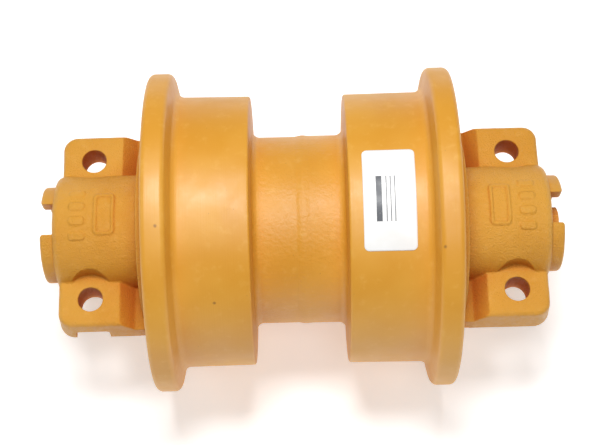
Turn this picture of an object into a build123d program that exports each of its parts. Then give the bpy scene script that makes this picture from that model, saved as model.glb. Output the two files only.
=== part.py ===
from build123d import *
import os
import math

os.makedirs("parts", exist_ok=True)

# Track roller. Millimetres. +X runs along the shaft to the plug end, +Z is the
# domed side of the end collars, -Z the side that bolts to the track frame.
# The origin is on the shaft axis at mid-length.

# Rolling shell, outside
FLANGE_R = 97.25
FLANGE_FACE_X = 90.3
RIM_W = 13.5
RIM_ROUND = 3.4
FLANGE_SLOPE = 3.4
TREAD_FILLET = 4.7
TREAD_R_FLANGE_L = 82.75
TREAD_R_WAIST_L = 82.35
TREAD_R_FLANGE_R = 82.65
TREAD_R_WAIST_R = 82.2
SHOULDER_X_L = 30.05
SHOULDER_X_R = 26.55
WAIST_R_L = 57.1
WAIST_R_R = 57.5
SHOULDER_ROUND = 1.3
WAIST_FILLET = 4.5

# Girth weld
WELD_X = 0.7
WELD_W = 8.0
WELD_DEPTH = 6.0
WELD_CROWN = 0.7

# Rolling shell, inside
RESERVOIR_R = 41.0
RESERVOIR_HALF = 20.0
BUSH_OD_R = 36.0
BUSH_BACK_R = 32.0
BUSH_IN_X = 28.0
BUSH_FACE_X = 75.0
BUSH_FLANGE_T = 5.0
BUSH_FLANGE_R = 41.0
SAME_BODY_FIT = 0.03
SEAL_SEAT_R = 46.4
SEAL_SEAT_IN_X = 76.0
SEAL_MOUTH_X = 83.4
SEAL_MOUTH_R = 48.2
END_RECESS_R = 56.5

# Shaft
JOURNAL_R = 30.0
RUN_CLEAR = 0.08
SEAT_R = 26.0
SEAT_X = 75.4
END_R = 20.5
END_STEP_X = 96.5
SHAFT_END_X = 149.0
SHAFT_FLAT_SINK = 0.1
OIL_BORE_R = 5.0
CROSS_HOLE_R = 2.5
CROSS_HOLE_X = 48.0

# Face seals
SEAL_IN_R = 38.6
SEAL_TOE_R = 42.2
SEAL_FACE_R = 46.0
SEAL_BACK_X = 77.5
SEAL_PLANE_X = 84.2
SEAL_GAP = 0.3
TORIC_R = 2.2
TORIC_X = 79.7
TORIC_CENTRE_R = 45.0

# End collars
DISC_R = 54.5
DISC_OUT_X = 97.0
NOSE_R = 37.0
PLATE_IN_X = 93.6
PLATE_OUT_X = 148.5
PLATE_HALF = 62.9
PLATE_DRAFT_DEG = 4.0
PLATE_ROUND = 2.8
MOUNT_Z = -10.3
PAD_IN_X = 99.5
PAD_RELIEF = 0.8
EAR_Z = 9.7
LOW_Z = 0.8
EAR_IN_X = 110.4
LOW_END_X = 101.8
EAR_CORNER_R = 10.0
EAR_SLOPE_ROUND = 4.5
DOME_R = 35.8
DOME_OUT_X = 149.0
DOME_ROUND = 4.5
DOME_FOOT_FILLET = 3.5
HOLE_X = 128.0
HOLE_Y = 45.0
HOLE_R = 7.5
SPOT_R = 15.5
SPOT_DEPTH = 0.05
ARCH_OUT_R = 29.5
ARCH_END_X = 157.0
ARCH_NOTCH = 19.6
ARCH_ROUND = 1.8
NOTCH_X = 128.0
NOTCH_W = 20.0
NOTCH_H = 8.8
NOTCH_Y = 55.0

# Raised marks on the dome: an empty frame and a row of plain pads
MARK_H = 0.9
FRAME_X = 117.8
FRAME_W = 12.0
FRAME_L = 26.0
FRAME_RIB = 1.6
PAD_X = 134.0
PAD_W = 9.0
PAD_L = 4.6
PAD_PITCH = 9.2
PAD_COUNT = 4

# Locks and plug
PIN_R = 5.0
PIN_X = 116.0
PIN_Y = 18.0
PIN_TOP_Z = 22.0
PIN_SINK = 0.6
ORING_X = 90.0
ORING_R = 1.25
PLUG_AF = 17.0
PLUG_TURN_DEG = 21.0
PLUG_SHANK_R = 8.0
PLUG_SHANK_L = 14.0
WASHER_R = 11.0
WASHER_T = 1.5
PLUG_HEAD_L = 6.2

# Label
LABEL_T = 0.2
LABEL_GAP = 0.02
LABEL_X0 = 34.5
LABEL_X1 = 64.5
LABEL_DEG0 = -30.0
LABEL_DEG1 = 11.5


def turned(points):
    """A ring turned about the X axis from (x, radius) points."""
    face = make_face(Polyline(*[(x, r) for x, r in points], close=True))
    return revolve(face, Axis.X, 360)


def rod(x0, x1, r):
    """A solid cylinder along X between two stations."""
    plane = Plane(origin=(min(x0, x1), 0, 0), x_dir=(0, 1, 0), z_dir=(1, 0, 0))
    return plane * Cylinder(r, abs(x1 - x0), align=(Align.CENTER, Align.CENTER, Align.MIN))


def slab(x0, x1, y0, y1, z0, z1):
    """A box given by its two corners."""
    size = (abs(x1 - x0), abs(y1 - y0), abs(z1 - z0))
    return Pos(min(x0, x1), min(y0, y1), min(z0, z1)) * Box(*size, align=(Align.MIN,) * 3)


def other_end(solid):
    """The same casting turned round to the opposite end."""
    return solid.rotate(Axis.Z, 180)


def mirrored(solid):
    """The mirror part for the opposite end."""
    return solid.mirror(Plane.YZ)


def rounded(profile_points, radii):
    """A closed (x, radius) profile whose corners carry the given fillets."""
    face = make_face(Polyline(*profile_points, close=True))
    for (x, r), radius in radii:
        corner = face.vertices().sort_by_distance((x, r, 0))[0]
        face = fillet(corner, radius)
    return face


def shell_half(tread_flange, tread_waist, shoulder_x, waist_r, joint_x):
    """One forged half of the rolling shell, drawn on the +X side."""
    rim_in = FLANGE_FACE_X - RIM_W
    foot = (rim_in - FLANGE_SLOPE, tread_flange)
    shoulder_top = (shoulder_x, tread_waist)
    shoulder_foot = (shoulder_x - 1.2, waist_r)
    groove_x = joint_x + WELD_W / 2
    weld_root = WAIST_R_L - WELD_DEPTH
    flange_seat = BUSH_FACE_X - BUSH_FLANGE_T
    bush_flange_seat_r = BUSH_FLANGE_R + 0.4
    points = [
        (FLANGE_FACE_X, END_RECESS_R + 2),
        (FLANGE_FACE_X, FLANGE_R),
        (rim_in, FLANGE_R),
        foot,
        shoulder_top,
        shoulder_foot,
        (groove_x, waist_r),
        (groove_x, weld_root),
        (joint_x, weld_root),
        (joint_x, RESERVOIR_R),
        (RESERVOIR_HALF, RESERVOIR_R),
        (RESERVOIR_HALF + 5, BUSH_OD_R),
        (flange_seat, BUSH_OD_R),
        (flange_seat, bush_flange_seat_r),
        (SEAL_SEAT_IN_X, bush_flange_seat_r),
        (SEAL_SEAT_IN_X, SEAL_SEAT_R),
        (SEAL_MOUTH_X, SEAL_MOUTH_R),
        (SEAL_MOUTH_X, END_RECESS_R),
        (FLANGE_FACE_X - 2, END_RECESS_R),
    ]
    radii = [
        ((FLANGE_FACE_X, FLANGE_R), RIM_ROUND),
        ((rim_in, FLANGE_R), RIM_ROUND),
        (foot, TREAD_FILLET),
        (shoulder_top, SHOULDER_ROUND),
        (shoulder_foot, WAIST_FILLET),
    ]
    return revolve(rounded(points, radii), Axis.X, 360)


def weld_bead():
    """Girth weld that fills the groove between the two halves, with a low crown."""
    left = (WELD_X - WELD_W / 2, WAIST_R_L)
    right = (WELD_X + WELD_W / 2, WAIST_R_R)
    top = (WELD_X, max(WAIST_R_L, WAIST_R_R) + WELD_CROWN)
    root = WAIST_R_L - WELD_DEPTH
    sides = Polyline(left, (left[0], root), (right[0], root), right)
    crown = ThreePointArc(right, top, left)
    return revolve(make_face([sides, crown]), Axis.X, 360)


def bushing_back():
    """Steel back of the flanged bushing, +X side."""
    seat_r = BUSH_OD_R - SAME_BODY_FIT
    flange_x = BUSH_FACE_X - BUSH_FLANGE_T
    return turned([
        (BUSH_IN_X, BUSH_BACK_R),
        (BUSH_FACE_X - 0.8, BUSH_BACK_R),
        (BUSH_FACE_X - 0.8, BUSH_FLANGE_R),
        (flange_x + SAME_BODY_FIT, BUSH_FLANGE_R),
        (flange_x + SAME_BODY_FIT, seat_r),
        (BUSH_IN_X + 1.5, seat_r),
        (BUSH_IN_X, seat_r - 1.5),
    ])


def bushing_lining():
    """Bronze lining of the bushing: the bore and the thrust face, +X side."""
    bore = JOURNAL_R + RUN_CLEAR
    return turned([
        (BUSH_IN_X, bore),
        (BUSH_FACE_X, bore),
        (BUSH_FACE_X, BUSH_FLANGE_R - 0.6),
        (BUSH_FACE_X - 0.8 + SAME_BODY_FIT, BUSH_FLANGE_R - 0.6),
        (BUSH_FACE_X - 0.8 + SAME_BODY_FIT, BUSH_BACK_R - SAME_BODY_FIT),
        (BUSH_IN_X, BUSH_BACK_R - SAME_BODY_FIT),
    ])


def seal_ring():
    """Metal face-seal ring on the rolling side, +X end."""
    face_x = SEAL_PLANE_X - SEAL_GAP / 2
    return turned([
        (SEAL_BACK_X, SEAL_IN_R),
        (face_x - 1.0, SEAL_IN_R),
        (face_x, SEAL_IN_R + 3.5),
        (face_x, SEAL_FACE_R),
        (face_x - 1.5, SEAL_FACE_R),
        (face_x - 2.2, SEAL_TOE_R + 1.0),
        (SEAL_BACK_X, SEAL_TOE_R),
    ])


def toric_ring():
    """Rubber ring that presses the seal ring, rolling side, +X end."""
    plane = Plane(origin=(TORIC_X, 0, 0), z_dir=(1, 0, 0))
    return plane * Torus(TORIC_CENTRE_R, TORIC_R)


def across_seal(solid):
    """The same seal piece on the other side of the sealing plane."""
    return solid.mirror(Plane.YZ.offset(SEAL_PLANE_X))


def shaft():
    """Stepped shaft with flats on both ends, lock-pin grooves and oil ways."""
    body = rod(-SEAT_X, SEAT_X, JOURNAL_R)
    for side in (-1, 1):
        seat = rod(side * (SEAT_X - 1), side * END_STEP_X, SEAT_R)
        end = rod(side * (END_STEP_X - 1), side * SHAFT_END_X, END_R)
        outer = end.edges().filter_by(GeomType.CIRCLE).sort_by(Axis.X)[-1 if side > 0 else 0]
        end = chamfer(outer, 1.0)
        body += seat + end
        body -= slab(side * DISC_OUT_X, side * (SHAFT_END_X + 2), -40, 40, -60, MOUNT_Z + SHAFT_FLAT_SINK)
        pin_hole = Cylinder(PIN_R + SAME_BODY_FIT, 80)
        body -= Pos(side * PIN_X, side * -PIN_Y, 0) * pin_hole
        groove = rod(side * (ORING_X - 1.7), side * (ORING_X + 1.7), SEAT_R + 1)
        groove -= rod(side * (ORING_X - 3), side * (ORING_X + 3), SEAT_R - 2 * ORING_R - 0.15)
        body -= groove
        body -= Pos(side * CROSS_HOLE_X, 0, 0) * Cylinder(CROSS_HOLE_R, 2 * JOURNAL_R + 2)
    body -= rod(-CROSS_HOLE_X - 6, SHAFT_END_X + 1, OIL_BORE_R)
    body -= rod(SHAFT_END_X - PLUG_SHANK_L - 1, SHAFT_END_X + 1, PLUG_SHANK_R + SAME_BODY_FIT)
    centre = Plane(origin=(-SHAFT_END_X + 5.0, 0, 0), z_dir=(-1, 0, 0))
    body -= centre * Cone(0.5, 6.5, 6.0, align=(Align.CENTER, Align.CENTER, Align.MIN))
    return body


def collar_base():
    """Ears and plate of the end collar: drafted block with a low inner part."""
    middle = (PLATE_IN_X + PLATE_OUT_X) / 2
    length = PLATE_OUT_X - PLATE_IN_X
    with BuildSketch(Plane.XY.offset(MOUNT_Z)) as plan:
        with Locations((middle, 0)):
            Rectangle(length, 2 * PLATE_HALF)
        outer = plan.vertices().filter_by_position(Axis.X, middle, PLATE_OUT_X + 1)
        fillet(outer, EAR_CORNER_R)
        inner = plan.vertices().filter_by_position(Axis.X, PLATE_IN_X - 1, middle)
        fillet(inner, 3.0)
    block = extrude(plan.sketch, EAR_Z - MOUNT_Z, taper=PLATE_DRAFT_DEG)
    step = [
        (PLATE_IN_X - 5, EAR_Z + 12),
        (PLATE_IN_X - 5, LOW_Z),
        (LOW_END_X, LOW_Z),
        (EAR_IN_X, EAR_Z),
        (EAR_IN_X + 12, EAR_Z + 4),
        (EAR_IN_X + 12, EAR_Z + 12),
    ]
    rounds = [((LOW_END_X, LOW_Z), 3.0), ((EAR_IN_X, EAR_Z), EAR_SLOPE_ROUND)]
    cut = Plane.XZ * rounded(step, rounds)
    block -= extrude(cut, 2 * PLATE_HALF, both=True)
    top = block.faces().filter_by(Axis.Z).sort_by(Axis.Z)[-1]
    rim = [e for e in top.edges() if e.center().X > EAR_IN_X + 8]
    return fillet(rim, PLATE_ROUND)


def dome():
    """Half-round housing over the shaft end, with rounded outer edge."""
    points = [
        (PLATE_IN_X + 0.5, 0),
        (PLATE_IN_X + 0.5, DOME_R),
        (DOME_OUT_X, DOME_R),
        (DOME_OUT_X, 0),
    ]
    radii = [((PLATE_IN_X + 0.5, DOME_R), 2.0), ((DOME_OUT_X, DOME_R), DOME_ROUND)]
    whole = revolve(rounded(points, radii), Axis.X, 360)
    return whole - slab(PLATE_IN_X - 1, DOME_OUT_X + 1, -50, 50, -50, MOUNT_Z)


def dome_foot(top_z, x0, x1):
    """Filleted foot where the dome meets a plate whose top is at top_z."""
    foot_y = math.sqrt(DOME_R ** 2 - top_z ** 2)
    with BuildSketch(Plane.YZ.offset(x0)) as section:
        Circle(DOME_R - 0.01)
        with Locations((0, -DOME_R)):
            Rectangle(4 * DOME_R, 2 * DOME_R, mode=Mode.SUBTRACT)
        with Locations((0, (top_z + MOUNT_Z) / 2)):
            Rectangle(2 * foot_y + 16, top_z - MOUNT_Z)
        corners = section.vertices().filter_by_position(Axis.Z, top_z - 0.1, top_z + 0.1)
        feet = [v for v in corners if abs(v.Y) < foot_y + 1]
        fillet(feet, DOME_FOOT_FILLET)
    return extrude(section.sketch, x1 - x0)


def guard_arch():
    """Two-pronged rim that guards the shaft end and its plug."""
    ring = rod(DOME_OUT_X - 3, ARCH_END_X, ARCH_OUT_R) - rod(DOME_OUT_X - 4, ARCH_END_X + 1, END_R)
    ring -= slab(DOME_OUT_X - 4, ARCH_END_X + 1, -50, 50, -50, MOUNT_Z)
    ring -= slab(DOME_OUT_X, ARCH_END_X + 1, -ARCH_NOTCH / 2, ARCH_NOTCH / 2, 0, 40)
    ends = ring.edges().filter_by_position(Axis.X, ARCH_END_X - 0.1, ARCH_END_X + 0.1)
    return fillet(ends, ARCH_ROUND)


def raised(outline):
    """A plan outline raised from the crown of the dome."""
    skin = rod(PLATE_IN_X, DOME_OUT_X, DOME_R + MARK_H) - rod(PLATE_IN_X - 1, DOME_OUT_X + 1, DOME_R - 1)
    return extrude(Pos(0, 0, DOME_R / 2) * outline, DOME_R) & skin


def marks():
    """Empty raised frame and a row of plain pads on the dome."""
    frame = RectangleRounded(FRAME_W, FRAME_L, 2.5)
    frame -= RectangleRounded(FRAME_W - 2 * FRAME_RIB, FRAME_L - 2 * FRAME_RIB, 1.2)
    pieces = [raised(Pos(FRAME_X, 0) * frame)]
    pad = raised(Pos(PAD_X, 0) * RectangleRounded(PAD_W, PAD_L, 1.6))
    step = math.degrees(PAD_PITCH / DOME_R)
    for i in range(PAD_COUNT):
        pieces.append(pad.rotate(Axis.X, step * (i - (PAD_COUNT - 1) / 2)))
    return pieces


def collar():
    """Cast end collar with seal housing, thrust nose, ears, dome and guard arch, +X end."""
    body = collar_base() + dome()
    body += dome_foot(LOW_Z, PLATE_IN_X + 3, LOW_END_X - 1)
    body += dome_foot(EAR_Z, EAR_IN_X + 2, PLATE_OUT_X - 3.5)
    body += guard_arch()
    body -= slab(PLATE_IN_X - 1, PAD_IN_X, -80, 80, MOUNT_Z - 40, MOUNT_Z + PAD_RELIEF)
    housing = turned([
        (SEAT_X, SEAT_R - 1),
        (SEAT_X, NOSE_R),
        (2 * SEAL_PLANE_X - SEAL_SEAT_IN_X, NOSE_R),
        (2 * SEAL_PLANE_X - SEAL_SEAT_IN_X, SEAL_SEAT_R),
        (2 * SEAL_PLANE_X - SEAL_MOUTH_X, SEAL_MOUTH_R),
        (2 * SEAL_PLANE_X - SEAL_MOUTH_X, DISC_R),
        (DISC_OUT_X, DISC_R),
        (DISC_OUT_X, SEAT_R - 1),
    ])
    cavity = turned([
        (SEAT_X, NOSE_R),
        (2 * SEAL_PLANE_X - SEAL_SEAT_IN_X, NOSE_R),
        (2 * SEAL_PLANE_X - SEAL_SEAT_IN_X, SEAL_SEAT_R),
        (2 * SEAL_PLANE_X - SEAL_MOUTH_X, SEAL_MOUTH_R),
        (2 * SEAL_PLANE_X - SEAL_MOUTH_X, DISC_R + 30),
        (SEAT_X, DISC_R + 30),
    ])
    body = body + housing - cavity
    for piece in marks():
        body += piece
    for side in (-1, 1):
        body -= Pos(HOLE_X, side * HOLE_Y, 0) * Cylinder(HOLE_R, 80)
        spot = Cylinder(SPOT_R, 40, align=(Align.CENTER, Align.CENTER, Align.MIN))
        body -= Pos(HOLE_X, side * HOLE_Y, EAR_Z - SPOT_DEPTH) * spot
    notch = slab(NOTCH_X - NOTCH_W / 2, NOTCH_X + NOTCH_W / 2, NOTCH_Y, 80, MOUNT_Z - 1, MOUNT_Z + NOTCH_H)
    notch = fillet(notch.edges().filter_by(Axis.Y).group_by(Axis.Z)[-1], 2.0)
    body -= notch
    body -= rod(SEAT_X - 1, END_STEP_X, SEAT_R + SAME_BODY_FIT)
    body -= rod(END_STEP_X - 1, ARCH_END_X + 1, END_R + SAME_BODY_FIT)
    pin_hole = Cylinder(PIN_R + SAME_BODY_FIT, 60, align=(Align.CENTER, Align.CENTER, Align.MAX))
    body -= Pos(PIN_X, -PIN_Y, PIN_TOP_Z + 0.5) * pin_hole
    return body


def lock_pin():
    """Pin that locks the shaft in the collar, driven in from the mounting side, +X end."""
    length = PIN_TOP_Z - MOUNT_Z - PIN_SINK
    pin = Pos(PIN_X, -PIN_Y, PIN_TOP_Z - length / 2) * Cylinder(PIN_R, length)
    return chamfer(pin.edges().filter_by(GeomType.CIRCLE), 0.8)


def shaft_oring():
    """O-ring between the shaft seat and the collar, +X end."""
    plane = Plane(origin=(ORING_X, 0, 0), z_dir=(1, 0, 0))
    return plane * Torus(SEAT_R - ORING_R - 0.05, ORING_R)


def plug_washer():
    """Sealing washer under the plug head."""
    return rod(SHAFT_END_X, SHAFT_END_X + WASHER_T, WASHER_R) - rod(140, 160, PLUG_SHANK_R + 0.3)


def oil_plug():
    """Hexagon-head filler plug in the shaft end."""
    head_x = SHAFT_END_X + WASHER_T + 0.02
    plane = Plane(origin=(head_x, 0, 0), x_dir=(0, 1, 0), z_dir=(1, 0, 0))
    hexagon = RegularPolygon(PLUG_AF / 2, 6, major_radius=False, rotation=PLUG_TURN_DEG)
    head = extrude(plane * hexagon, PLUG_HEAD_L)
    tip = plane * Cone(PLUG_AF * 0.56 + PLUG_HEAD_L * 1.8, PLUG_AF * 0.52, PLUG_HEAD_L,
                       align=(Align.CENTER, Align.CENTER, Align.MIN))
    head = head & tip
    shank = rod(SHAFT_END_X - PLUG_SHANK_L, head_x + 1, PLUG_SHANK_R)
    shank = chamfer(shank.edges().filter_by(GeomType.CIRCLE).sort_by(Axis.X)[0], 1.2)
    return head + shank


def label():
    """Blank printed sticker wrapped on the right-hand tread."""
    def tread_at(x):
        span = FLANGE_FACE_X - RIM_W - FLANGE_SLOPE - SHOULDER_X_R
        share = (x - SHOULDER_X_R) / span
        return TREAD_R_WAIST_R + share * (TREAD_R_FLANGE_R - TREAD_R_WAIST_R) + LABEL_GAP
    low = tread_at(LABEL_X0)
    high = tread_at(LABEL_X1)
    corners = [(LABEL_X0, low), (LABEL_X1, high), (LABEL_X1, high + LABEL_T), (LABEL_X0, low + LABEL_T)]
    sheet = revolve(make_face(Polyline(*corners, close=True)), Axis.X, LABEL_DEG1 - LABEL_DEG0)
    return sheet.rotate(Axis.X, 90 - LABEL_DEG1)


def build_nodes():
    """Every node of the roller by name."""
    right_collar = collar()
    half_l = shell_half(TREAD_R_FLANGE_L, TREAD_R_WAIST_L, SHOULDER_X_L, WAIST_R_L, -WELD_X)
    half_r = shell_half(TREAD_R_FLANGE_R, TREAD_R_WAIST_R, SHOULDER_X_R, WAIST_R_R, WELD_X)
    nodes = {
        "shell_left": mirrored(half_l),
        "shell_right": half_r,
        "weld_bead": weld_bead(),
        "label": label(),
        "shaft": shaft(),
        "collar_right": right_collar,
        "collar_left": other_end(right_collar),
        "lock_pin_right": lock_pin(),
        "lock_pin_left": other_end(lock_pin()),
        "plug_washer": plug_washer(),
        "oil_plug": oil_plug(),
    }
    pairs = {
        "bushing": bushing_back(),
        "bushing_lining": bushing_lining(),
        "seal_ring_turning": seal_ring(),
        "seal_ring_fixed": across_seal(seal_ring()),
        "toric_turning": toric_ring(),
        "toric_fixed": across_seal(toric_ring()),
        "shaft_oring": shaft_oring(),
    }
    for name, solid in pairs.items():
        nodes[name + "_right"] = solid
        nodes[name + "_left"] = mirrored(solid)
    return nodes


for node, shape in build_nodes().items():
    solids = shape.solids()
    if len(solids) != 1:
        print("more than one solid in", node, len(solids))
    piece = solids[0]
    piece.label = node
    export_step(piece, "parts/" + node + ".step")
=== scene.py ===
import math

import bmesh
import bpy
from mathutils import Matrix, Vector, noise


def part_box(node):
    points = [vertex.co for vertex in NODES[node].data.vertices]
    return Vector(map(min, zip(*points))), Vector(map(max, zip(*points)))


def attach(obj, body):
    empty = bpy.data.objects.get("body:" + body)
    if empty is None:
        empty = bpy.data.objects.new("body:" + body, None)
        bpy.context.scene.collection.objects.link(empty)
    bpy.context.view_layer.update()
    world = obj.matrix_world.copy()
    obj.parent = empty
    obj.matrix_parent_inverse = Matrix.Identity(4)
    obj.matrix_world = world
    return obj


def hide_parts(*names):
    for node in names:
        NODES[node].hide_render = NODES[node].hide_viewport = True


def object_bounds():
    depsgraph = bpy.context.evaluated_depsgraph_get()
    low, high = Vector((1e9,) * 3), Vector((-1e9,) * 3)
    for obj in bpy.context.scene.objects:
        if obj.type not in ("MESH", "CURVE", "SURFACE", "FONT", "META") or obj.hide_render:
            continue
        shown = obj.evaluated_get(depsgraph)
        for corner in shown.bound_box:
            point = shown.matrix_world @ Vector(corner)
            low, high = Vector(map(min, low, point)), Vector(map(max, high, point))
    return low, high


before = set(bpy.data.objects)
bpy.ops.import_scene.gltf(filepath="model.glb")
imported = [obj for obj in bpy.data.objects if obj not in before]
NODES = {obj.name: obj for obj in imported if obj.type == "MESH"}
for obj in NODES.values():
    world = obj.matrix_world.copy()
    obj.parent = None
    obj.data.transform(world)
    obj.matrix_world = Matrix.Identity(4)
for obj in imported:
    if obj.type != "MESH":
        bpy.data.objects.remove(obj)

CAD_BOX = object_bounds()
MM = 0.001


# ---------------------------------------------------------------- node helpers

class Mat:
    """A node material under construction, with short calls for common nodes."""

    def __init__(self, name):
        self.m = bpy.data.materials.new(name)
        self.m.use_nodes = True
        self.t = self.m.node_tree
        self.bsdf = self.t.nodes["Principled BSDF"]
        self.coords = self.node("ShaderNodeTexCoord").outputs["Object"]

    def node(self, kind, **props):
        n = self.t.nodes.new(kind)
        for key, value in props.items():
            setattr(n, key, value)
        return n

    def put(self, target, value):
        if hasattr(value, "is_output"):
            self.t.links.new(value, target)
        elif value is not None:
            target.default_value = value

    def math(self, op, a, b=None):
        n = self.node("ShaderNodeMath", operation=op)
        for socket, value in zip(n.inputs, (a, b)):
            self.put(socket, value)
        return n.outputs[0]

    def noise(self, scale, detail=3.0, rough=0.5, vector=None):
        n = self.node("ShaderNodeTexNoise")
        self.put(n.inputs["Vector"], vector or self.coords)
        self.put(n.inputs["Scale"], scale)
        self.put(n.inputs["Detail"], detail)
        self.put(n.inputs["Roughness"], rough)
        return n.outputs["Fac"]

    def cells(self, scale):
        n = self.node("ShaderNodeTexVoronoi")
        self.put(n.inputs["Vector"], self.coords)
        self.put(n.inputs["Scale"], scale)
        return n.outputs["Distance"]

    def distance(self, place):
        n = self.node("ShaderNodeVectorMath", operation="DISTANCE")
        self.put(n.inputs[0], self.coords)
        n.inputs[1].default_value = place
        return n.outputs["Value"]

    def ramp(self, fac, low, high, out_low=0.0, out_high=1.0):
        n = self.node("ShaderNodeMapRange", interpolation_type="SMOOTHSTEP")
        for socket, value in zip(n.inputs, (fac, low, high, out_low, out_high)):
            self.put(socket, value)
        return n.outputs["Result"]

    def mix(self, fac, a, b):
        n = self.node("ShaderNodeMix", data_type="RGBA")
        self.put(n.inputs["Factor"], fac)
        self.put(n.inputs["A"], a)
        self.put(n.inputs["B"], b)
        return n.outputs["Result"]

    def xyz(self, vector=None):
        n = self.node("ShaderNodeSeparateXYZ")
        self.put(n.inputs[0], vector or self.coords)
        return n.outputs

    def scaled(self, x, y, z):
        n = self.node("ShaderNodeMapping")
        self.put(n.inputs["Vector"], self.coords)
        n.inputs["Scale"].default_value = (x, y, z)
        return n.outputs["Vector"]

    def bump(self, height, distance, strength=1.0, normal=None):
        n = self.node("ShaderNodeBump")
        self.put(n.inputs["Height"], height)
        self.put(n.inputs["Distance"], distance)
        self.put(n.inputs["Strength"], strength)
        if normal is not None:
            self.put(n.inputs["Normal"], normal)
        return n.outputs["Normal"]

    def surface(self, color=None, rough=None, normal=None, metallic=None, **others):
        self.put(self.bsdf.inputs["Base Color"], color)
        self.put(self.bsdf.inputs["Roughness"], rough)
        self.put(self.bsdf.inputs["Metallic"], metallic)
        if normal is not None:
            self.put(self.bsdf.inputs["Normal"], normal)
        for key, value in others.items():
            self.put(self.bsdf.inputs[key.replace("_", " ")], value)
        return self.m


def rgb(r, g, b):
    """Display colour 0-255 to the linear colour a shader takes."""
    lin = []
    for c in (r, g, b):
        c = c / 255
        lin.append(c / 12.92 if c <= 0.04045 else ((c + 0.055) / 1.055) ** 2.4)
    return (*lin, 1.0)


PAINT = rgb(229, 166, 56)
PAINT_DEEP = rgb(221, 154, 42)
PAINT_PALE = rgb(239, 186, 92)
# the next two colours are painted shade, first for sharp inner edges, then for hollows
PAINT_CREASE_SHADE = rgb(184, 104, 20)
PAINT_HOLLOW_SHADE = rgb(200, 104, 8)
DIRT = rgb(120, 78, 36)
PIT = rgb(128, 80, 36)

STEEL = rgb(176, 176, 174)
BUSHING_STEEL = rgb(150, 150, 150)
BRONZE = rgb(190, 142, 84)
SEAL_IRON = rgb(118, 118, 120)
COPPER = rgb(196, 128, 92)
RUBBER = rgb(34, 34, 35)
RUBBER_DUST = rgb(58, 57, 56)

LABEL_WHITE = rgb(250, 250, 249)
LABEL_SHADE = rgb(243, 242, 239)
LABEL_LINE = rgb(120, 122, 126)
LABEL_BAR = rgb(70, 74, 82)

FLOOR_PALE = rgb(251, 251, 251)
FLOOR_SHADE = rgb(248, 248, 248)

# the waist's forged skin fades out between these two radii, in metres
SKIN_IN = 0.0595
SKIN_OUT = 0.0640
# turned corners where the lathe marks are strongest: fillets and flange edges
TURNED_X = (-0.0275, 0.0245, -0.0735, 0.0735)
# small pits in the paint of the flanges and the left tread
PITS = ((-0.0812, -0.0307, 0.0922), (-0.0510, -0.0635, 0.0529), (0.0784, -0.0450, 0.0862))
# roughness added where the paint lies in a hollow
CREVICE_ROUGH = 0.35


def paint_color(m, hollow_shade_amount=0.75, reach=0.016, crease_shade_amount=0.5, edge_highlight=0.55):
    """Yellow-orange enamel, uneven at arm's length and close up. Returns colour and the mask of
    painted shade in hollows.

    The first argument is how strongly painted shade darkens hollows up to reach metres wide, the
    third is the same painted shade for sharp inner edges, and the last is how strongly a painted
    highlight pales the outer edges.
    """
    broad = m.noise(14.0, 3.0, 0.55)
    fine = m.noise(160.0, 4.0, 0.6)
    color = m.mix(m.ramp(broad, 0.34, 0.68), PAINT_DEEP, PAINT)
    color = m.mix(m.ramp(fine, 0.52, 0.80, 0.0, 0.35), color, PAINT_PALE)
    specks = m.ramp(m.cells(230.0), 0.0, 0.10, 1.0, 0.0)
    dirt = m.math("MULTIPLY", specks, m.ramp(m.noise(38.0, 2.0), 0.56, 0.66))
    color = m.mix(m.math("MULTIPLY", dirt, 0.55), color, DIRT)
    # painted shade: hollows found by ambient occlusion are darkened towards the deep brown-orange
    hollow = m.node("ShaderNodeAmbientOcclusion", samples=4)
    hollow.inputs["Distance"].default_value = reach
    hollow_shade = m.ramp(hollow.outputs["AO"], 0.25, 0.78, hollow_shade_amount, 0.0)
    point = m.node("ShaderNodeNewGeometry").outputs["Pointiness"]
    # painted highlight: convex outer edges are paled
    color = m.mix(m.ramp(point, 0.515, 0.60, 0.0, edge_highlight), color, PAINT_PALE)
    # painted shade: sharp inner edges and creases are darkened
    color = m.mix(m.ramp(point, 0.42, 0.492, crease_shade_amount, 0.0), color, PAINT_CREASE_SHADE)
    return m.mix(hollow_shade, color, PAINT_HOLLOW_SHADE), hollow_shade


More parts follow.
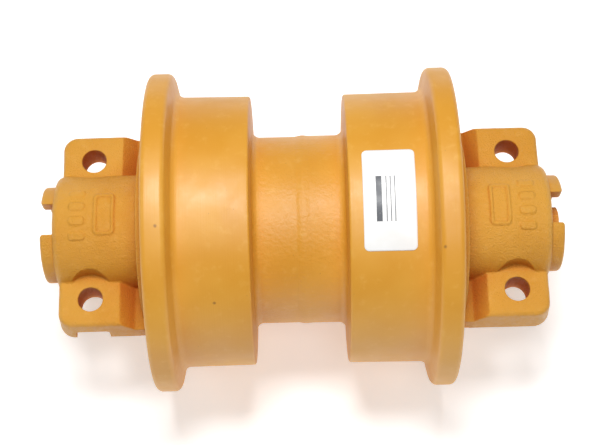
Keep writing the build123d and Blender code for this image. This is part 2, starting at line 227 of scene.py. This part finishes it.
def shell_paint():
    """Turned and painted shell, with lathe rings, a rougher waist and a few pits."""
    m = Mat("paint_shell")
    x, y, z = m.xyz()
    radius = m.math("SQRT", m.math("ADD", m.math("MULTIPLY", y, y), m.math("MULTIPLY", z, z)))
    rings = m.noise(1.0, 3.0, 0.6, vector=m.scaled(1500.0, 9.0, 9.0))
    marks = m.ramp(m.noise(20.0, 2.0), 0.35, 0.65, 0.30, 0.9)
    for place in TURNED_X:
        off = m.math("ABSOLUTE", m.math("SUBTRACT", x, place))
        marks = m.math("ADD", marks, m.ramp(off, 0.0015, 0.0065, 1.6, 0.0))
    peel = m.noise(420.0, 2.0, 0.5)
    lumps = m.noise(26.0, 2.0, 0.5)
    n = m.bump(lumps, 0.00050, 0.35)
    n = m.bump(peel, 0.00010, 0.35, n)
    on_waist = m.ramp(radius, SKIN_IN, SKIN_OUT, 1.0, 0.0)
    n = m.bump(m.math("MULTIPLY", m.noise(480.0, 4.0, 0.6), on_waist), 0.00045, 0.8, n)
    n = m.bump(m.math("MULTIPLY", rings, marks), 0.00016, 0.6, n)
    rough = m.ramp(m.noise(60.0, 4.0, 0.6), 0.3, 0.7, 0.41, 0.51)
    # the painted highlight on edges is kept off the waist
    color, hollow_shade = paint_color(m, edge_highlight=m.ramp(radius, SKIN_IN, SKIN_OUT, 0.0, 0.5))
    for pit in PITS:
        ragged = m.math("MULTIPLY", m.noise(900.0, 2.0), 0.0006)
        near = m.math("ADD", m.distance(pit), ragged)
        spot = m.ramp(near, 0.0006, 0.0017, 1.0, 0.0)
        color = m.mix(m.math("MULTIPLY", spot, 0.7), color, PIT)
    rough = m.math("ADD", rough, m.math("MULTIPLY", hollow_shade, CREVICE_ROUGH))
    return m.surface(color, rough, n, Specular_IOR_Level=0.65)


def cast_paint():
    """The same paint over a grainy sand casting."""
    m = Mat("paint_casting")
    grain = m.noise(950.0, 4.0, 0.66)
    pits = m.cells(420.0)
    lumps = m.noise(70.0, 3.0, 0.5)
    n = m.bump(lumps, 0.0010, 0.45)
    n = m.bump(grain, 0.0009, 1.0, n)
    n = m.bump(m.ramp(pits, 0.0, 0.30), 0.00025, 0.40, n)
    rough = m.ramp(m.noise(260.0, 4.0, 0.7), 0.32, 0.68, 0.30, 0.52)
    # painted shade at full strength in wider hollows and stronger on sharp inner edges
    color, hollow_shade = paint_color(m, 1.0, 0.026, 0.85)
    rough = m.math("ADD", rough, m.math("MULTIPLY", hollow_shade, CREVICE_ROUGH))
    return m.surface(color, rough, n, Specular_IOR_Level=0.5)


# the shaft is painted past SHAFT_END, and on its flats, which start at FLAT_START
SHAFT_END = 0.1478
FLAT_START = 0.0960
FLAT_Z = -0.01005


def steel(name, tone, rough_low, rough_high, painted_ends=False):
    """Turned steel with fine rings; the shaft's exposed ends and flats carry paint."""
    m = Mat(name)
    rings = m.noise(1.0, 3.0, 0.6, vector=m.scaled(2400.0, 30.0, 30.0))
    blot = m.noise(90.0, 4.0, 0.6)
    darker = tuple(c * 0.72 for c in tone[:3]) + (1.0,)
    color = m.mix(m.ramp(blot, 0.35, 0.7), tone, darker)
    n = m.bump(rings, 0.00003, 0.6)
    rough = m.ramp(m.noise(240.0, 4.0, 0.6), 0.3, 0.7, rough_low, rough_high)
    metallic = 1.0
    if painted_ends:
        x, y, z = m.xyz()
        along = m.math("ABSOLUTE", x)
        end = m.math("GREATER_THAN", along, SHAFT_END)
        below = m.math("LESS_THAN", z, FLAT_Z)
        flat = m.math("MULTIPLY", below, m.math("GREATER_THAN", along, FLAT_START))
        mask = m.math("MAXIMUM", end, flat)
        # the painted ends take the enamel with its painted shade in hollows and painted highlight on
        # edges
        color = m.mix(mask, color, paint_color(m)[0])
        metallic = m.math("SUBTRACT", 1.0, mask)
        rough = m.math("ADD", rough, m.math("MULTIPLY", mask, 0.14))
    return m.surface(color, rough, n, metallic)


def rubber():
    m = Mat("seal_rubber")
    dust = m.noise(120.0, 4.0, 0.6)
    color = m.mix(m.ramp(dust, 0.4, 0.75), RUBBER, RUBBER_DUST)
    n = m.bump(m.noise(900.0, 3.0), 0.00005, 0.5)
    return m.surface(color, m.ramp(dust, 0.3, 0.7, 0.55, 0.75), n)


def label_print():
    """White sticker with one plain bar and three plain lines."""
    m = Mat("label_print")
    u, v, w = m.xyz(m.node("ShaderNodeUVMap", uv_map="sheet").outputs["UV"])

    def band(value, centre, half):
        away = m.math("ABSOLUTE", m.math("SUBTRACT", value, centre))
        return m.math("LESS_THAN", away, half)

    ink = None
    for centre in (0.44, 0.52, 0.60):
        line = m.math("MULTIPLY", band(u, centre, 0.010), band(v, 0.50, 0.22))
        ink = line if ink is None else m.math("MAXIMUM", ink, line)
    bar = m.math("MULTIPLY", band(u, 0.30, 0.055), band(v, 0.50, 0.22))
    wear = m.ramp(m.noise(300.0, 4.0, 0.6), 0.62, 0.75, 1.0, 0.75)
    white = m.mix(m.ramp(m.noise(40.0, 3.0), 0.4, 0.7), LABEL_WHITE, LABEL_SHADE)
    color = m.mix(m.math("MULTIPLY", ink, wear), white, LABEL_LINE)
    color = m.mix(m.math("MULTIPLY", bar, wear), color, LABEL_BAR)
    n = m.bump(m.noise(500.0, 3.0), 0.00004, 0.4)
    n = m.bump(m.noise(40.0, 2.0), 0.0002, 0.3, n)
    return m.surface(color, m.ramp(m.noise(80.0, 3.0), 0.3, 0.7, 0.30, 0.42), n)


# ------------------------------------------------------------- shape helpers

ARC_STEP = 0.35
SMOOTH_DEG = 32


def rounded_profile(points, radii):
    """Points (x, r) in mm with arcs in place of the corners that have a radius."""
    out = []
    count = len(points)
    for i, point in enumerate(points):
        here = Vector(point)
        radius = radii.get(i, 0.0)
        if radius <= 0:
            out.append(here)
            continue
        a = (Vector(points[i - 1]) - here).normalized()
        b = (Vector(points[(i + 1) % count]) - here).normalized()
        half = a.angle(b) / 2
        reach = radius / math.tan(half)
        centre = here + (a + b).normalized() * (radius / math.sin(half))
        start = here + a * reach - centre
        end = here + b * reach - centre
        turn = start.angle_signed(end)
        steps = max(4, int(abs(turn) * radius / ARC_STEP))
        for k in range(steps + 1):
            rot = Matrix.Rotation(-turn * k / steps, 2)
            out.append(centre + rot @ start)
    return out


def linked(name, mesh):
    obj = bpy.data.objects.new(name, mesh)
    bpy.context.scene.collection.objects.link(obj)
    return obj


def lathe(name, profile, segments, wobble):
    """Closed ring of revolution about X from (x, r) millimetre points."""
    verts = []
    faces = []
    n = len(profile)
    for j in range(segments):
        angle = 2 * math.pi * j / segments
        cy, cz = math.cos(angle), math.sin(angle)
        for x, r in profile:
            r = r + wobble(x, r, angle)
            verts.append((x * MM, r * cy * MM, r * cz * MM))
    for j in range(segments):
        k = (j + 1) % segments
        for i in range(n):
            p = (i + 1) % n
            faces.append((j * n + i, j * n + p, k * n + p, k * n + i))
    mesh = bpy.data.meshes.new(name)
    mesh.from_pydata(verts, [], faces)
    mesh.validate()
    obj = linked(name, mesh)
    outward(mesh)
    smooth(mesh)
    mesh.set_sharp_from_angle(angle=math.radians(SMOOTH_DEG))
    return obj


def outward(mesh):
    bm = bmesh.new()
    bm.from_mesh(mesh)
    bmesh.ops.recalc_face_normals(bm, faces=bm.faces)
    bm.to_mesh(mesh)
    bm.free()


def smooth(mesh):
    for p in mesh.polygons:
        p.use_smooth = True


def dressed(obj, material):
    obj.data.materials.clear()
    obj.data.materials.append(material)


def painted_node(name, material):
    """A CAD node keeps its shape and takes the material."""
    obj = NODES[name]
    for slot in obj.material_slots:
        slot.material = material
    if not obj.material_slots:
        obj.data.materials.append(material)


# ---------------------------------------------------------------- the shells

FACE_X = 90.3
RIM_W = 13.5
FLANGE_R = 97.25
FLANGE_SLOPE = 3.4
SEAT_R = 58.5
JOINT_LAND = 4.0
BEAD_ROOT_R = 57.1 - 6.0
# corner radii by the number of the profile's point
SHELL_RADII = {1: 3.4, 2: 3.4, 3: 4.7, 4: 1.3, 5: 4.5, 17: 0.8}
# longest straight piece of a profile, and how far turned surfaces waver, in mm
PIECE = 2.5
WAVER = 0.10


def shell(side, tread_flange, tread_waist, shoulder, waist_r, joint):
    """One half of the rolling shell; side is -1 for the left and 1 for the right."""
    rim = FACE_X - RIM_W
    land = joint + JOINT_LAND
    points = [
        (FACE_X, SEAT_R), (FACE_X, FLANGE_R), (rim, FLANGE_R), (rim - FLANGE_SLOPE, tread_flange),
        (shoulder, tread_waist), (shoulder - 1.2, waist_r), (land, waist_r),
        (land, BEAD_ROOT_R), (joint, BEAD_ROOT_R), (joint, 41.0), (20.0, 41.0), (25.0, 36.0),
        (70.0, 36.0), (70.0, 41.4), (76.0, 41.4), (76.0, 46.4), (83.4, 48.2), (83.4, 56.5),
        (88.3, 56.5),
    ]
    profile = rounded_profile(points, SHELL_RADII)
    # the long straight runs are split so that the surface can waver slightly
    fine = []
    for a, b in zip(profile, profile[1:] + profile[:1]):
        pieces = max(1, int((b - a).length / PIECE))
        for k in range(pieces):
            fine.append(a.lerp(b, k / pieces))
    seed = 3.1 if side < 0 else 8.7

    def wobble(x, r, angle):
        if r < 56.0:
            return 0.0
        at = Vector((x * 0.02 + seed, math.cos(angle) * 2.0, math.sin(angle) * 2.0))
        return WAVER * noise.noise(at) - WAVER / 2

    profile = [(side * p.x, p.y) for p in fine]
    return lathe("shell_left_skin" if side < 0 else "shell_right_skin", profile, 288, wobble)


BEAD_X = 0.7
BEAD_HALF = 4.0
BEAD_LEFT_R = 57.1
BEAD_RIGHT_R = 57.5
BEAD_H = 0.45
BEAD_POINTS = 24


def weld():
    """Girth bead with faint overlapping ripples under the paint."""
    start, end = BEAD_X - BEAD_HALF, BEAD_X + BEAD_HALF
    profile = [(start, BEAD_ROOT_R), (end, BEAD_ROOT_R), (end, BEAD_RIGHT_R)]
    for k in range(1, BEAD_POINTS):
        t = k / BEAD_POINTS
        base = BEAD_RIGHT_R + (BEAD_LEFT_R - BEAD_RIGHT_R) * t
        crown = BEAD_H * math.sin(math.pi * t) ** 1.4
        profile.append((end - 2 * BEAD_HALF * t, base + crown))
    profile.append((start, BEAD_LEFT_R))

    def ripple(x, r, angle):
        if r < 57.3:
            return 0.0
        bow = ((x - BEAD_X) / BEAD_HALF) ** 2
        lump = noise.noise(Vector((x * 0.3, angle * 6, 1)))
        return 0.02 * math.sin(angle * 120 + bow * 2.4) * (1.0 - bow) + 0.06 * lump

    return lathe("weld_bead_skin", profile, 1080, ripple)


# --------------------------------------------------------------- the collars

VOXEL_MM = 0.55
# machined faces stay true: below MACHINED_Z, and the seal housing inside MACHINED_X
MACHINED_Z = -0.0100
MACHINED_X = 0.0975


def casting(node):
    """Sand-cast version of an end collar: soft edges and an uneven skin."""
    welded = bmesh.new()
    welded.from_mesh(NODES[node].data)
    bmesh.ops.remove_doubles(welded, verts=welded.verts, dist=1e-6)
    bmesh.ops.scale(welded, vec=(1000, 1000, 1000), verts=welded.verts)
    mesh = bpy.data.meshes.new(node + "_skin")
    welded.to_mesh(mesh)
    welded.free()
    obj = linked(node + "_skin", mesh)
    remesh = obj.modifiers.new("remesh", "REMESH")
    remesh.mode = "VOXEL"
    remesh.voxel_size = VOXEL_MM
    relax = obj.modifiers.new("relax", "SMOOTH")
    relax.factor = 0.5
    relax.iterations = 1
    bpy.context.view_layer.update()
    deps = bpy.context.evaluated_depsgraph_get()
    mesh = bpy.data.meshes.new_from_object(obj.evaluated_get(deps))
    mesh.transform(Matrix.Scale(MM, 4))
    obj.modifiers.clear()
    obj.data = mesh
    # normals are read before any point moves, because each move would renew them all
    normals = [v.normal.copy() for v in mesh.vertices]
    for v, normal in zip(mesh.vertices, normals):
        p = v.co
        if p.z < MACHINED_Z or abs(p.x) < MACHINED_X:
            continue
        lump = noise.noise(p * 55.0) * 0.00022 + noise.noise(p * 190.0) * 0.00009
        v.co = p + normal * lump
    smooth(mesh)
    return obj


# ------------------------------------------------------------------ the label

LABEL_DEG = (-30.0, 11.5)
LABEL_ROUND_R = 0.0825
LABEL_CORNER = 0.0030
LABEL_COLS = 40
LABEL_ROWS = 84
# the right tread under the label is a cone: its radius at its waist end, and its rise over its length
TREAD_X = (0.02655, 0.0734)
TREAD_R = 0.0822
TREAD_RISE = 0.00045
LABEL_LIFT = 0.00007
LABEL_T = 0.00010


def label_sheet():
    """Thin sheet wrapped on the right-hand tread, corners slightly rounded."""
    low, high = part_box("label")
    width = high[0] - low[0]
    length = math.radians(LABEL_DEG[1] - LABEL_DEG[0]) * LABEL_ROUND_R
    verts = []
    coords = []
    for j in range(LABEL_ROWS + 1):
        for i in range(LABEL_COLS + 1):
            u, v = i / LABEL_COLS, j / LABEL_ROWS
            s, t = u * width, v * length
            # pull the grid in at the corners
            ex = min(s, width - s)
            ey = min(t, length - t)
            if ex < LABEL_CORNER and ey < LABEL_CORNER:
                d = math.hypot(LABEL_CORNER - ex, LABEL_CORNER - ey)
                if d > LABEL_CORNER:
                    k = 1 - LABEL_CORNER / d
                    s = s + k * (LABEL_CORNER - ex) * (1 if s < width / 2 else -1)
                    t = t + k * (LABEL_CORNER - ey) * (1 if t < length / 2 else -1)
            angle = math.radians(LABEL_DEG[0]) + t / LABEL_ROUND_R
            x = low[0] + s
            share = (x - TREAD_X[0]) / (TREAD_X[1] - TREAD_X[0])
            lift = LABEL_LIFT + 0.00006 * noise.noise(Vector((u * 3, v * 6, 2.0)))
            r = TREAD_R + share * TREAD_RISE + lift
            verts.append((x, r * math.sin(angle), r * math.cos(angle)))
            coords.append((u, v))
    faces = []
    across = LABEL_COLS + 1
    for j in range(LABEL_ROWS):
        for i in range(LABEL_COLS):
            a = j * across + i
            faces.append((a, a + 1, a + across + 1, a + across))
    mesh = bpy.data.meshes.new("label_sheet")
    mesh.from_pydata(verts, [], faces)
    layer = mesh.uv_layers.new(name="sheet")
    for loop in mesh.loops:
        layer.data[loop.index].uv = coords[loop.vertex_index]
    obj = linked("label_sheet", mesh)
    solid = obj.modifiers.new("thickness", "SOLIDIFY")
    solid.thickness = LABEL_T
    solid.offset = 1.0
    smooth(mesh)
    return obj


# ------------------------------------------------------------------- assembly

shell_mat = shell_paint()
cast_mat = cast_paint()

left = shell(-1, 82.75, 82.35, 30.05, BEAD_LEFT_R, -BEAD_X)
right = shell(1, 82.65, 82.2, 26.55, BEAD_RIGHT_R, BEAD_X)
bead = weld()
for obj, node in ((left, "shell_left"), (right, "shell_right"), (bead, "weld_bead")):
    dressed(obj, shell_mat)
    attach(obj, "roller")
    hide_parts(node)

for node in ("collar_left", "collar_right"):
    obj = casting(node)
    dressed(obj, cast_mat)
    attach(obj, "frame_side")
    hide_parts(node)

sheet = label_sheet()
dressed(sheet, label_print())
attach(sheet, "roller")
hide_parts("label")

shaft_mat = steel("shaft_steel", STEEL, 0.16, 0.30, painted_ends=True)
bushing_mat = steel("bushing_steel", BUSHING_STEEL, 0.22, 0.38)
bronze_mat = steel("bushing_bronze", BRONZE, 0.24, 0.40)
seal_mat = steel("seal_iron", SEAL_IRON, 0.20, 0.36)
copper_mat = steel("washer_copper", COPPER, 0.28, 0.44)
rubber_mat = rubber()
painted_node("shaft", shaft_mat)
painted_node("oil_plug", cast_mat)
painted_node("plug_washer", copper_mat)
for end in ("left", "right"):
    painted_node("lock_pin_" + end, shaft_mat)
    painted_node("bushing_" + end, bushing_mat)
    painted_node("bushing_lining_" + end, bronze_mat)
    painted_node("seal_ring_turning_" + end, seal_mat)
    painted_node("seal_ring_fixed_" + end, seal_mat)
    painted_node("toric_turning_" + end, rubber_mat)
    painted_node("toric_fixed_" + end, rubber_mat)
    painted_node("shaft_oring_" + end, rubber_mat)


# -------------------------------------------------------------- floor, light

FLOOR_HALF = 6
FLOOR_GAP = 0.0003
FLOOR_GLOW = 0.36
SKY_GLOW = 0.17
SKY_SEEN = 0.52


def floor():
    z = CAD_BOX[0][2] - FLOOR_GAP
    h = FLOOR_HALF
    mesh = bpy.data.meshes.new("floor")
    mesh.from_pydata([(-h, -h, z), (h, -h, z), (h, h, z), (-h, h, z)], [], [(0, 1, 2, 3)])
    obj = linked("floor", mesh)
    m = Mat("floor_pale")
    tone = m.mix(m.noise(3.0, 2.0), FLOOR_PALE, FLOOR_SHADE)
    glow = {"Emission_Color": (1, 1, 1, 1), "Emission_Strength": FLOOR_GLOW}
    dressed(obj, m.surface(tone, 0.9, Specular_IOR_Level=0.1, **glow))


def sky():
    """A faint glow all round. Seen past the floor's edge it is as pale as the floor's far end."""
    world = bpy.data.worlds.new("studio")
    world.use_nodes = True
    tree = world.node_tree
    background = tree.nodes["Background"]
    seen = tree.nodes.new("ShaderNodeLightPath").outputs["Is Camera Ray"]
    glow = tree.nodes.new("ShaderNodeMapRange")
    glow.inputs["To Min"].default_value = SKY_GLOW
    glow.inputs["To Max"].default_value = SKY_SEEN
    tree.links.new(seen, glow.inputs["Value"])
    tree.links.new(glow.outputs["Result"], background.inputs["Strength"])
    background.inputs["Color"].default_value = (1, 1, 1, 1)
    bpy.context.scene.world = world


TILT = math.radians(21.0)
ROLL = 0.02463


def area(name, up_deg, side_deg, distance, size, power):
    """Light aimed at the object, up_deg above and side_deg right of the camera's direction."""
    light = bpy.data.lights.new(name, "AREA")
    light.shape = "RECTANGLE"
    light.size, light.size_y = size
    light.energy = power
    obj = linked(name, light)
    u, s = math.radians(up_deg), math.radians(side_deg)
    view = Vector((math.sin(s) * math.cos(u), math.sin(u), math.cos(s) * math.cos(u))) * distance
    place = Matrix.Rotation(TILT, 3, "X") @ view
    obj.location = place
    obj.rotation_euler = (-place).to_track_quat("-Z", "Y").to_euler()


floor()
sky()
area("key", 28, -2, 1.5, (0.45, 0.32), 15.8)
area("front", 0, 4, 1.8, (0.5, 0.6), 5.4)
area("side_left", 15, -62, 1.5, (0.35, 0.9), 2.0)
area("side_right", 15, 62, 1.5, (0.35, 0.9), 1.6)

# -------------------------------------------------------------------- camera

CAMERA_MM = Vector((-1.3985, 4.2236, 911.44))
LENS = 88.77
SENSOR = 36.0

scene = bpy.context.scene
scene.view_settings.view_transform = "Standard"
camera_data = bpy.data.cameras.new("camera")
camera_data.sensor_width = SENSOR
camera_data.lens = LENS
camera = linked("camera", camera_data)
turn = Matrix.Rotation(TILT, 3, "X") @ Matrix.Rotation(-ROLL, 3, "Z")
camera.matrix_world = Matrix.Translation(turn @ CAMERA_MM * MM) @ turn.to_4x4()
scene.camera = camera

bpy.context.view_layer.update()
